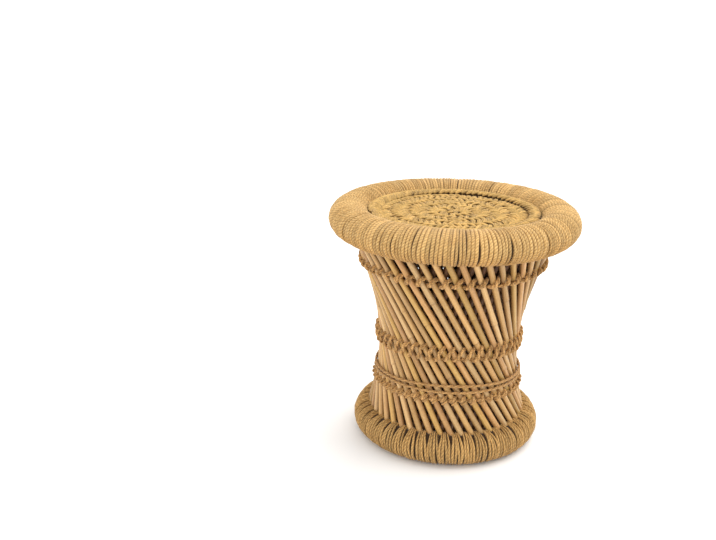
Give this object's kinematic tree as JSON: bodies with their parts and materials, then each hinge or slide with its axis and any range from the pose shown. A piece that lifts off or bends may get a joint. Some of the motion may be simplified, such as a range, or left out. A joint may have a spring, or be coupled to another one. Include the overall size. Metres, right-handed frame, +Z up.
{
  "type": "mudda stool",
  "caption": "Round waisted stool of crossing canes between a rope-bound rim and base ring, with a woven rope seat",
  "frame": {"origin": "on the floor at the centre of the base ring", "axes": "+Z up along the stool's axis, +X and +Y level"},
  "size_m": [0.3546, 0.3546, 0.3498],
  "materials": {
    "cane_tan": "satin natural bamboo skin",
    "cane_green": "satin natural bamboo skin, greenish yellow",
    "cane_brown": "satin natural bamboo skin, brown",
    "cane_pale": "satin natural bamboo skin, pale",
    "cane_straw": "satin natural bamboo skin, straw yellow",
    "cane_inner": "satin natural bamboo, in shade",
    "hoop": "split cane hoop",
    "rim_twine": "jute twine, golden tan",
    "base_twine": "jute twine, browner",
    "tie_twine": "jute twine, twisted",
    "waist_cord": "twisted jute cord",
    "seat_twine": "braided jute rope",
    "warp_twine": "jute cord"
  },
  "bodies": {
    "root": {"outer_cane_01": "cane_tan", "outer_cane_02": "cane_green", "outer_cane_03": "cane_brown", "outer_cane_04": "cane_pale", "outer_cane_05": "cane_straw", "outer_cane_06": "cane_tan", "outer_cane_07": "cane_green", "outer_cane_08": "cane_brown", "outer_cane_09": "cane_pale", "outer_cane_10": "cane_straw", "outer_cane_11": "cane_tan", "outer_cane_12": "cane_green", "outer_cane_13": "cane_brown", "outer_cane_14": "cane_pale", "outer_cane_15": "cane_straw", "outer_cane_16": "cane_tan", "outer_cane_17": "cane_green", "outer_cane_18": "cane_brown", "outer_cane_19": "cane_pale", "outer_cane_20": "cane_straw", "outer_cane_21": "cane_tan", "outer_cane_22": "cane_green", "outer_cane_23": "cane_brown", "outer_cane_24": "cane_pale", "outer_cane_25": "cane_straw", "outer_cane_26": "cane_tan", "outer_cane_27": "cane_green", "outer_cane_28": "cane_brown", "outer_cane_29": "cane_pale", "outer_cane_30": "cane_straw", "outer_cane_31": "cane_tan", "outer_cane_32": "cane_green", "outer_cane_33": "cane_brown", "outer_cane_34": "cane_pale", "outer_cane_35": "cane_straw", "outer_cane_36": "cane_tan", "outer_cane_37": "cane_green", "outer_cane_38": "cane_brown", "outer_cane_39": "cane_pale", "outer_cane_40": "cane_straw", "outer_cane_41": "cane_tan", "outer_cane_42": "cane_green", "outer_cane_43": "cane_brown", "outer_cane_44": "cane_pale", "outer_cane_45": "cane_straw", "outer_cane_46": "cane_tan", "outer_cane_47": "cane_green", "outer_cane_48": "cane_brown", "inner_cane_frame": "cane_inner", "rim_outer_hoop": "hoop", "base_outer_hoop": "hoop", "rim_binding": "rim_twine", "base_binding": "base_twine", "upper_twining": "tie_twine", "middle_twining": "tie_twine", "lower_twining": "tie_twine", "waist_rope": "waist_cord", "seat_edge_braid": "seat_twine", "seat_weave": "seat_twine", "seat_warp": "warp_twine"}
  },
  "joints": []
}
